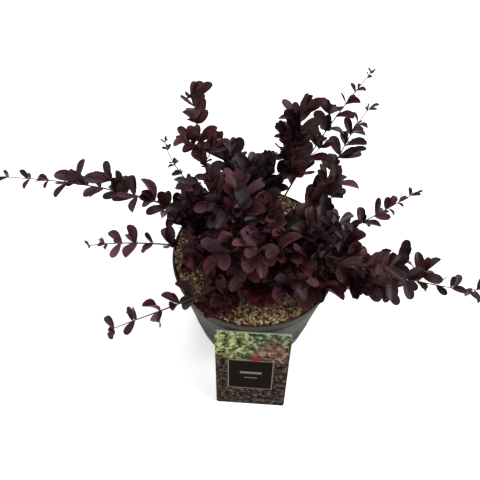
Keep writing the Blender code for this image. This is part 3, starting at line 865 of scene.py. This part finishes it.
def banded(rings, sides, spot):
    """The points of rings, where spot gives a ring's point at a turn, and the faces between them."""
    points = [spot(i, 2 * pi * k / sides) for i in range(rings) for k in range(sides)]
    faces = []
    for a in range(0, (rings - 1) * sides, sides):
        b = a + sides
        for k in range(sides):
            after = (k + 1) % sides
            faces.append((a + k, b + k, b + after, a + after))
    return points, faces


def arc(middle, radii, start, end, steps):
    """Points on a round or oval arc from one angle to another, both in quarter turns."""
    angles = [pi / 2 * (start + (end - start) * k / steps) for k in range(steps + 1)]
    return [(middle[0] + radii[0] * cos(a), middle[1] + radii[1] * sin(a)) for a in angles]


def settle(piece, slot, *solids):
    """Hides the solids that a piece stands for and hangs the piece on the root body. The slot is not used.
    """
    if solids:
        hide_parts(*solids)
    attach(piece, "root")


# Leaves


def blade(tree, given, cup, curl):
    """One blade of unit length and width: widest past its middle, round at its tip, narrow at its foot."""
    grid = put(tree, "GeometryNodeMeshGrid", {"Vertices X": given["Rows"], "Vertices Y": given["Columns"]})
    x, y, _ = split(put(tree, "GeometryNodeInputPosition"))
    share = x + 0.5
    turn = share * pi
    along = (1.0 - turn.cosine()) * 0.5
    across = y * (turn.sine() * (share * 0.84 + 0.36)).at_least(0.07)
    height = across * across * (cup * 4) - along * along * curl
    spot = put(tree, "ShaderNodeCombineXYZ", {0: along, 1: across, 2: height})
    bent = put(tree, "GeometryNodeSetPosition", {0: grid, "Position": spot})
    inputs = {0: bent, "Name": "UVMap", "Value": Value(grid.socket.node.outputs["UV Map"])}
    return put(tree, "GeometryNodeStoreNamedAttribute", inputs, data_type="FLOAT2", domain="CORNER")


def leaf_tree():
    """Puts a blade on each point, turned to the point's way and face and as long and wide as it says."""
    tree, given = growing_tree("barberry leaves", {"Rows": 9, "Columns": 5})
    blades = gathered([blade(tree, given, cup, curl) for cup, curl in BLADES])
    points = put(tree, "GeometryNodeMeshToPoints", {0: given["Geometry"]})
    axes = {0: attribute(tree, "way", "FLOAT_VECTOR"), 1: attribute(tree, "face", "FLOAT_VECTOR")}
    turn = put(tree, "FunctionNodeAxesToRotation", axes, primary_axis="X", secondary_axis="Z")
    size = attribute(tree, "size", "FLOAT_VECTOR")
    return set_out(given, points, blades, turn, size, attribute(tree, "blade", "INT"))


def leaf_material():
    """Glossy dark leaf: its spray's colour, a paler midrib, fine side veins and a pale rim."""
    made, tree, place = new_material("barberry_leaf", 0.36, 0.28)
    along, across, _ = split(put(tree, "ShaderNodeUVMap", uv_map="UVMap"))
    aside = abs(across - 0.5)
    rib = (1.0 - aside * 22.0).at_least(0.0)
    vein = (along * 42.0 - aside * 38.0).sine().at_least(0.0) ** 8.0
    blotch = noise(place, 260)
    patch = ramp(blotch, (0.3, 0.72, 0.72, 0.74), (0.75, 1.35, 1.25, 1.25))
    colour = put(tree, "ShaderNodeAttribute", output="Color", attribute_name="leaf_colour")
    colour = blended(1.0, colour, patch, "MULTIPLY")
    colour = blended(rib * 0.35, colour, (0.12, 0.035, 0.045))
    colour = blended(vein * 0.10, colour, (0.10, 0.04, 0.05))
    colour = blended((aside * 2.0) ** 14.0 * 0.3, colour, (0.13, 0.05, 0.06))
    return coat(made, colour, vein * 0.3 - rib, 0.35, 0.4 * MM, blotch * 0.22 + 0.34)


def make_leaves(name, growths, tree, material):
    """One piece of the leaves of several stems. Each has a tone of its stem, a little darker or lighter."""
    leaves, colours, sizes, blades = [], [], [], []
    shapes = random.Random(BLADE_DRAWS)
    for stem, mass in growths:
        rng = random.Random(stem.seed + COLOUR_DRAWS)
        look = LOOKS[stem.name]
        leaves += mass.leaves
        for leaf in mass.leaves:
            tone = TONES[look.second if rng.random() < look.share else look.tone]
            light = rng.uniform(0.65, 1.45)
            colours.append((*(c * light for c in tone), 1.0))
            sizes.append((leaf.length, leaf.width * 1.04, leaf.length * shapes.uniform(0.5, 1.3)))
            blades.append(shapes.randrange(len(BLADES)))
    roots, ways, faces = ([getattr(leaf, field) for leaf in leaves] for field in ("root", "way", "face"))
    source = source_of(name, roots, way=ways, face=faces, size=sizes, leaf_colour=colours, blade=blades)
    piece = grown(name, source, tree, material)
    settle(piece, "purple_leaves", *("leaves_" + stem.name for stem, _ in growths))


# Wood


def bark_tree():
    """A round stem along each line, as thick as its points say, with bark relief."""
    tree, given = growing_tree("stems with bark", STEM_BARK)
    curve = put(tree, "GeometryNodeMeshToCurve", {0: given["Geometry"]})
    fine = put(tree, "GeometryNodeResampleCurve", {0: curve, "Length": given["Step"]}, mode="LENGTH")
    ring = put(tree, "GeometryNodeCurvePrimitiveCircle", {"Resolution": given["Sides"], "Radius": 1.0})
    thick = attribute(tree, "thickness")
    tube = put(tree, "GeometryNodeCurveToMesh", {0: fine, 1: ring, "Scale": thick, "Fill Caps": True})
    rough = noise(put(tree, "GeometryNodeInputPosition"), given["Grain"], 2.0)
    height = (rough - 0.5) * given["Relief"] * thick
    normal = put(tree, "GeometryNodeInputNormal")
    push = put(tree, "ShaderNodeVectorMath", {0: normal, "Scale": height}, operation="SCALE")
    return finish_tree(given, put(tree, "GeometryNodeSetPosition", {0: tube, "Offset": push}))


def make_wood(name, twigs, tree, material, *solids, **sizes):
    """One piece of round wood along lines whose points carry its radius."""
    points, edges, radii = [], [], []
    for line in twigs:
        edges += [(i, i + 1) for i in range(len(points), len(points) + len(line.points) - 1)]
        points += line.points
        radii += line.radii
    source = source_of(name, points, edges, thickness=radii)
    settle(grown(name, source, tree, material, **sizes), "bark", *solids)


def whole_stem(line):
    """The limb and the shoot that goes on from it, from inside the crown to the tip."""
    steps = max(12, round(line.length / (5 * MM)))
    marks = [line.length * k / steps for k in range(steps + 1)]
    start = line.at(0)
    inside = start + (CROWN_MIDDLE - start).normalized() * 4 * MM
    points = [inside] + [line.at(s) for s in marks]
    radii = []
    for s in [0.0] + marks:
        radius = LIMB_FOOT + (TIP_RADIUS - LIMB_FOOT) * (s / line.length) ** 0.75
        radii.append(radius * (1 + 0.5 * exp(-s / (5 * MM))))
    return Twig(points, radii)


def bark_material(name, low, high, fissure):
    """Grooved brown bark between two shades, with grooves as dark as the fissure says."""
    made, _, place = new_material(name, 0.72, 0.35)
    colour = ramp(noise(place, 420, 4, 0.6), (0.3, *low), (0.7, *high))
    groove = noise(stretched(place, 900, 900, 160), 1.0, 2)
    dark = ramp(groove, (0.38, 0.35, 0.3, 0.3), (0.55, 1, 1, 1))
    return coat(made, blended(fissure, colour, dark, "MULTIPLY"), groove, 0.5, 0.5 * MM)


def spine_tree():
    """A thin thorn on each point, along the point's way."""
    tree, given = growing_tree("thorns", {"Sides": 4, "Thickness": 0.35 * MM})
    radii = {"Radius Top": 0.02 * MM, "Radius Bottom": given["Thickness"]}
    cone = put(tree, "GeometryNodeMeshCone", {"Vertices": given["Sides"], "Depth": 1.0, **radii})
    points = put(tree, "GeometryNodeMeshToPoints", {0: given["Geometry"]})
    way = attribute(tree, "way", "FLOAT_VECTOR")
    turn = put(tree, "FunctionNodeAlignRotationToVector", {"Vector": way}, axis="Z")
    size = put(tree, "ShaderNodeCombineXYZ", {0: 1.0, 1: 1.0, 2: attribute(tree, "reach")})
    return set_out(given, points, cone, turn, size)


def make_spines(growths, material):
    found = [spine for stem, mass in growths for spine in spines(stem, mass)]
    ways, reach = [s.way for s in found], [s.length for s in found]
    source = source_of("thorns", [s.root for s in found], way=ways, reach=reach)
    settle(grown("barberry_thorns", source, spine_tree(), material), "bark")


def make_crown(material):
    """The squat stock that the stems leave, with a flare and uneven bark."""
    rings, sides, dome = 20, 48, 0.7

    def outline(share):
        """Radius and height of the crown at a share of the way down."""
        if share < dome:
            angle = pi / 2 * (1 - share / dome)
            radius, height = cos(angle), CROWN_SQUAT * sin(angle)
            return CROWN_RADIUS * radius, SOIL_TOP + GAP + CROWN_FOOT + CROWN_RADIUS * height
        down = (share - dome) / (1 - dome)
        return CROWN_RADIUS + CROWN_FLARE * down**1.6, SOIL_TOP + GAP + CROWN_FOOT * (1 - down)

    def spot(i, turn):
        radius, height = outline((i + 1) / rings)
        radius *= min(1 + 0.05 * sin(5 * turn + height * 300) + 0.03 * sin(11 * turn), 1.02)
        return radius * cos(turn), radius * sin(turn), height

    points, faces = banded(rings, sides, spot)
    top = len(points)
    points.append((0, 0, outline(0)[1]))
    faces += [(top, k, (k + 1) % sides) for k in range(sides)]
    faces.append(range(top - 1, top - 1 - sides, -1))
    mesh = new_mesh("crown", points, faces=faces)
    mesh.shade_smooth()
    settle(add_piece("barberry_crown", mesh, material), "bark", "crown")


# Root ball and wood chips


def chip(tree, seed, wide, thick):
    """One splinter of wood of unit length: a bent, uneven block."""
    sizes = {"Size": (1.0, wide, thick), "Vertices X": 3, "Vertices Y": 2, "Vertices Z": 2}
    block = put(tree, "GeometryNodeMeshCube", sizes)
    place = vector_of("ADD", put(tree, "GeometryNodeInputPosition"), (seed * 7.0, 0, 0))
    rough = vector_of("SUBTRACT", noise(place, 1.6, 1.0, output="Color"), (0.5, 0.5, 0.5))
    push = vector_of("MULTIPLY", rough, (0.5, 0.6, 0.5))
    return put(tree, "GeometryNodeSetPosition", {0: block, "Offset": push})


def drawn(tree, low, high, seed, kind="FLOAT"):
    """A seeded random number or vector for each point."""
    first, output = {"FLOAT_VECTOR": (0, 0), "FLOAT": (2, 1), "INT": (4, 2)}[kind]
    inputs = {first: low, first + 1: high, "Seed": seed}
    return put(tree, "FunctionNodeRandomValue", inputs, output, data_type=kind)


def chip_tree():
    """Chips of four shapes strewn over a bed, each with its own turn, size and tone."""
    sizes = {"Density": 430000.0, "Shortest": 1.3 * MM, "Longest": 6.0 * MM, "Seed": 3}
    tree, given = growing_tree("wood chips", sizes)
    shapes = gathered([chip(tree, seed, *size) for seed, size in enumerate(CHIPS, 1)])
    inputs = {"Mesh": given["Geometry"], "Density": given["Density"], "Seed": given["Seed"]}
    strewn = put(tree, "GeometryNodeDistributePointsOnFaces", inputs)
    euler = drawn(tree, (-0.5, -0.5, 0.0), (0.5, 0.5, 6.3), 11, "FLOAT_VECTOR")
    turn = put(tree, "FunctionNodeEulerToRotation", {0: euler})
    lift = put(tree, "ShaderNodeCombineXYZ", {2: drawn(tree, 0.0, 1.8 * MM, 12)})
    raised = put(tree, "GeometryNodeSetPosition", {0: strewn, "Offset": lift})
    tone = {0: raised, "Name": "chip_tone", "Value": drawn(tree, 0.0, 1.0, 13)}
    toned = put(tree, "GeometryNodeStoreNamedAttribute", tone, data_type="FLOAT", domain="POINT")
    span = given["Longest"] - given["Shortest"]
    length = drawn(tree, 0.0, 1.0, 14) ** 2.0 * span + given["Shortest"]
    return set_out(given, toned, shapes, turn, length, drawn(tree, 0, len(CHIPS) - 1, 15, "INT"))


def chip_material():
    """Dry shredded wood, from dark bark to pale tan."""
    made, tree, place = new_material("wood_chips", 0.9, 0.2)
    colour = ramp(put(tree, "ShaderNodeAttribute", output="Fac", attribute_name="chip_tone"), *CHIP_TONES)
    grain = noise(place, 1500, 3, 0.6)
    shade = ramp(grain, (0.3, 0.6, 0.58, 0.55), (0.7, 1.15, 1.12, 1.1))
    return coat(made, blended(1.0, colour, shade, "MULTIPLY"), grain, 0.6, 0.4 * MM)


def soil_material():
    """Damp dark compost between the chips."""
    made, _, place = new_material("damp_compost", 0.95, 0.2)
    clod = noise(place, 420, 5, 0.65)
    colour = ramp(clod, (0.3, 0.02, 0.011, 0.007), (0.55, 0.07, 0.038, 0.02), (0.8, 0.2, 0.12, 0.06))
    return coat(made, colour, clod, 0.8, 2 * MM)


def make_chips():
    """The strewn layer on the root ball, kept inside the pot's wall."""
    rings, bank_from = 12, 0.6
    outer = wall_radius(SOIL_EDGE) - POT_WALL - 1.6 * MM

    def spot(i, turn):
        share = i / rings
        radius = CROWN_RADIUS + (outer - CROWN_RADIUS) * share
        bank = CHIP_BANK * max(0, share - bank_from) / (1 - bank_from)
        return radius * cos(turn), radius * sin(turn), soil_height(radius, turn) + 0.2 * MM + bank

    points, faces = banded(rings + 1, 48, spot)
    bed = source_of("bed", points, faces=faces)
    settle(grown("wood_chips", bed, chip_tree(), chip_material()), "wood_chips")


# Pot


def pot_profile():
    """Points of the pot's wall from the inner floor, over the rolled lip, down to the foot."""
    inner = wall_radius(POT_FLOOR) - POT_WALL
    shoulder = POT_HEIGHT - LIP_ROUND
    lip_foot = POT_HEIGHT - LIP_HEIGHT
    lip = (LIP_PROUD + POT_WALL) / 2
    profile = [(0, POT_FLOOR), (inner - FLOOR_BEVEL, POT_FLOOR), (inner, POT_FLOOR + FLOOR_BEVEL)]
    profile.append((wall_radius(POT_HEIGHT) - POT_WALL, shoulder))
    profile += arc((RIM_RADIUS - lip, shoulder), (lip, LIP_ROUND), 2, 0, 8)
    profile += [(RIM_RADIUS, lip_foot + 0.6 * MM), (RIM_RADIUS - 0.4 * MM, lip_foot)]
    profile.append((wall_radius(lip_foot), lip_foot - 0.3 * MM))
    profile += [(wall_radius(height * MM) + proud * MM, height * MM) for height, proud in WALL_RINGS]
    foot = (wall_radius(FOOT_BEVEL) - FOOT_BEVEL, FOOT_BEVEL)
    return profile + arc(foot, (FOOT_BEVEL, -FOOT_BEVEL), 0, 1, 4) + [(0, 0)]


def make_pot(material):
    """The turned wall and floor, with the drain holes cut out."""
    profile = pot_profile()
    edges = [(i, i + 1) for i in range(len(profile) - 1)]
    body = linked("pot wall", new_mesh("pot wall", [(r, 0, z) for r, z in profile], edges))
    screw = body.modifiers.new("turn", "SCREW")
    screw.steps = screw.render_steps = 128
    screw.use_merge_vertices = True
    screw.merge_threshold = 0.05 * MM
    drills = bmesh.new()
    for i in range(DRAIN_HOLES):
        turn = 2 * pi * (i + 0.5) / DRAIN_HOLES
        place = Matrix.Translation((DRAIN_RING * cos(turn), DRAIN_RING * sin(turn), 0))
        size = {"segments": 28, "radius1": DRAIN_RADIUS, "radius2": DRAIN_RADIUS, "depth": 4 * POT_FLOOR}
        bmesh.ops.create_cone(drills, cap_ends=True, matrix=place, **size)
    mesh = bpy.data.meshes.new("drain holes")
    drills.to_mesh(mesh)
    drills.free()
    cutter = linked("drain holes", mesh)
    holes = body.modifiers.new("drain holes", "BOOLEAN")
    holes.operation = "DIFFERENCE"
    holes.object = cutter
    finished = taken_from(body)
    bpy.data.objects.remove(cutter, do_unlink=True)
    finished.shade_smooth()
    finished.set_sharp_from_angle(angle=radians(38))
    settle(add_piece("nursery_pot", finished, material), "pot_plastic", "pot")


def pot_material():
    """Thin moulded plastic, grey-green, scuffed and dusty at the rim and foot."""
    made, _, place = new_material("moulded_pot_plastic", 0.55, 0.16)
    height = split(place)[2]
    low = (1.0 - height / (22 * MM)).at_least(0.0)
    high = ((height - 118 * MM) / (12 * MM)).at_least(0.0)
    speck = rising(noise(place, 340, 5, 0.7), 0.5, 0.68)
    dust = (speck * (low + high + 0.12) * 0.55).at_most(1.0)
    crumbs = rising(height, POT_HEIGHT - 1.0 * MM, POT_HEIGHT - 0.4 * MM) * (speck * 0.4 + 0.55)
    colour = ramp(noise(place, 26, 4, 0.6), (0.3, 0.008, 0.0115, 0.009), (0.7, 0.019, 0.0245, 0.0195))
    colour = blended(dust, colour, (0.19, 0.15, 0.10))
    colour = blended(crumbs, colour, (0.10, 0.07, 0.042))
    scuff = noise(stretched(place, 260, 260, 28), 1.0)
    roughness = scuff * 0.24 + 0.46 + dust * 0.4
    return coat(made, colour, noise(place, 900, 2) + scuff, 0.15, 0.4 * MM, roughness)


# Label card


def make_card(material):
    """A thin card with rounded corners, whose flat map carries the print. The back's map lies aside."""
    corners = []
    right, top = CARD_WIDTH / 2 - CARD_CORNER, -CARD_CORNER
    left, foot = -right, CARD_CORNER - CARD_HEIGHT
    for i, middle in enumerate(((right, top), (left, top), (left, foot), (right, foot))):
        corners += arc(middle, (CARD_CORNER, CARD_CORNER), i, i + 1, 5)
    points = [(x, depth, z) for depth in (-CARD_THICK, 0) for x, z in corners]
    back = len(corners)
    faces = [range(back), range(2 * back - 1, back - 1, -1)]
    for k in range(back):
        before = (k - 1) % back
        faces.append((before, back + before, back + k, k))
    mesh = new_mesh("card", points, faces=faces)
    flat = mesh.uv_layers.new(name="UVMap").data
    for face in mesh.polygons:
        aside = BACK_ASIDE if face.normal.y > 0.5 else 0
        for loop, corner in zip(face.loop_indices, face.vertices):
            x, _, z = points[corner]
            flat[loop].uv = (x / CARD_WIDTH + 0.5 + aside, z / CARD_HEIGHT + 1)
    height = CARD_HEIGHT * cos(CARD_LEAN) + GAP
    place = Matrix.Translation((CARD_SHIFT, -wall_radius(height) - GAP, height))
    mesh.transform(place @ Matrix.Rotation(CARD_TURN, 4, "Z") @ Matrix.Rotation(-CARD_LEAN, 4, "X"))
    settle(add_piece("printed_label", mesh, material), "printed_card", "label_card")


def card_material():
    """A plain print: mottled greens over browns, a dark panel, bars and a round dot, with a painted
    highlight along the top edge. The back is bare.
    """
    made, tree, _ = new_material("label_print", 0.62, 0.02)
    flat = put(tree, "ShaderNodeUVMap", uv_map="UVMap")
    u, v, _ = split(flat)
    stretch = stretched(flat, 1.0, 1.6, 1.0)
    leafy = noise(stretch, 10.5, 4, 0.8)
    wide = noise(stretch, 4.0, 2)
    light_green = ramp(leafy, (0.39, 0.008, 0.012, 0.005), (0.48, 0.1, 0.12, 0.04), (0.59, 0.5, 0.5, 0.25))
    deep_green = ramp(leafy, (0.4, 0.01, 0.015, 0.008), (0.5, 0.06, 0.085, 0.035), (0.62, 0.3, 0.37, 0.21))
    red_brown = ramp(leafy, (0.4, 0.02, 0.011, 0.009), (0.5, 0.12, 0.065, 0.05), (0.62, 0.33, 0.21, 0.16))
    grain = noise(stretch, 15, 4, 0.82)
    bark = ramp(grain, (0.41, 0.004, 0.003, 0.003), (0.5, 0.024, 0.016, 0.012), (0.61, 0.13, 0.093, 0.073))
    board = ramp(wide, (0.35, 0.4, 0.38, 0.33), (0.65, 0.52, 0.5, 0.45))
    drift = u + (wide - 0.5) * 0.9
    sink = v + (wide - 0.5) * 0.5

    def inside(left, right, low, high):
        """1 inside a rectangle of the flat map, else 0."""
        return (u > left) * (u < right) * ((v > low) * (v < high))

    colour = blended(rising(drift, 0.3, 0.62), light_green, deep_green)
    colour = blended(rising(sink, 0.92, 0.80) * rising(drift, 0.42, 0.58), colour, red_brown)
    colour = blended(rising(sink, 0.74, 0.62), colour, bark)
    # Painted highlight: a pale grey band along the card's top edge
    colour = blended((v > TOP_EDGE_HIGHLIGHT) * 0.45, colour, (0.42, 0.43, 0.40))
    colour = blended(inside(*PANEL_FRAME) * 0.8, colour, (0.22, 0.19, 0.16))
    colour = blended(inside(*PANEL), colour, (0.0075, 0.0045, 0.0035))
    colour = blended((inside(*WIDE_BAR) + inside(*THIN_BAR)) * 0.6, colour, (0.28, 0.27, 0.25))
    away_u = (u - DOT_MIDDLE[0]) * (CARD_WIDTH / CARD_HEIGHT)
    away_v = v - DOT_MIDDLE[1]
    dot = away_u * away_u + away_v * away_v < DOT_RADIUS**2
    colour = blended(dot, colour, (0.20, 0.022, 0.018))
    colour = blended(u > BACK_ASIDE - 0.5, colour, board)
    return coat(made, colour, noise(flat, 160, 2), 0.05, 0.2 * MM)


# Stage


def camera():
    """The photograph's view: from the label's side, looking down on the plant."""
    back = Vector(CAMERA_BACK).normalized()
    up = back.cross(Vector(CAMERA_RIGHT)).normalized()
    data = bpy.data.cameras.new("camera")
    data.sensor_width = 36
    data.lens = CAMERA_FOCUS * data.sensor_width
    data.clip_start = 0.01
    data.clip_end = 20
    eye = linked("camera", data)
    axes = Matrix((up.cross(back), up, back)).transposed().to_4x4()
    eye.matrix_world = Matrix.Translation(CAMERA_PLACE) @ axes
    bpy.context.scene.camera = eye


def lamp(name, place, height, size, power):
    """A round soft lamp that is aimed at a height over the pot's middle."""
    data = bpy.data.lights.new(name, "AREA")
    data.shape = "DISK"
    data.size = size
    data.energy = power
    light = linked(name, data)
    light.location = place
    light.rotation_euler = (Vector((0, 0, height)) - Vector(place)).to_track_quat("-Z", "Y").to_euler()


def studio():
    """A plain pale floor, a bright sky all round and three soft lamps."""
    made, tree, _ = new_material("pale_floor", 0.9, 0.1)
    inputs = {"Base Color": (0.93, 0.93, 0.93, 1), "Emission Color": (1, 1, 1, 1), "Emission Strength": 0.4}
    feed(tree.nodes["Principled BSDF"], inputs)
    mesh = new_mesh("floor", [(-4, -4, 0), (4, -4, 0), (4, 4, 0), (-4, 4, 0)], faces=[(0, 1, 2, 3)])
    floor = add_piece("floor", mesh, made)
    world = bpy.data.worlds.new("studio")
    world.use_nodes = True
    feed(world.node_tree.nodes["Background"], {"Color": (1, 1, 1, 1), "Strength": 0.65})
    bpy.context.scene.world = world
    lamp("key", (0.95, -0.1, 1.15), 0.15, 0.6, 13.5)
    lamp("fill", (-0.8, -0.6, 1.0), 0.12, 0.9, 2)
    lamp("back", (-0.1, 1.1, 1.2), 0.15, 0.7, 7)
    bpy.context.scene.view_settings.view_transform = "Standard"


def main():
    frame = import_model()
    solid_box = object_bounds()
    lines = [stem_line(stem) for stem in STEMS]
    growths = []
    for stem, line, space in zip(STEMS, lines, spaces(lines)):
        growths.append((stem, full_growth(stem, line, space, solid_box)))
    bark = bark_material("brown_bark", (0.034, 0.018, 0.014), (0.10, 0.058, 0.043), 0.8)
    twig_bark = bark_material("red_twig_bark", (0.036, 0.015, 0.014), (0.095, 0.042, 0.038), 0.4)
    tree = bark_tree()
    make_crown(bark)
    limbs = [whole_stem(line) for line in lines]
    make_wood("barberry_stems", limbs, tree, bark, *("stem_" + stem.name for stem in STEMS))
    twigs = [twig for _, mass in growths for twig in mass.twigs]
    make_wood("barberry_twigs", twigs, tree, twig_bark, **TWIG_BARK)
    make_spines(growths, twig_bark)
    leaf, glossy = leaf_tree(), leaf_material()
    make_leaves("sprays_leaves", growths[:SPRAYS], leaf, glossy)
    make_leaves("front_leaves", growths[SPRAYS:FRONTS], leaf, glossy)
    make_leaves("mound_leaves", growths[FRONTS:], leaf, glossy)
    make_chips()
    make_pot(pot_material())
    make_card(card_material())
    soil = frame["nodes"]["root_ball"]
    soil.data.materials.clear()
    soil.data.materials.append(soil_material())
    camera()
    studio()


main()
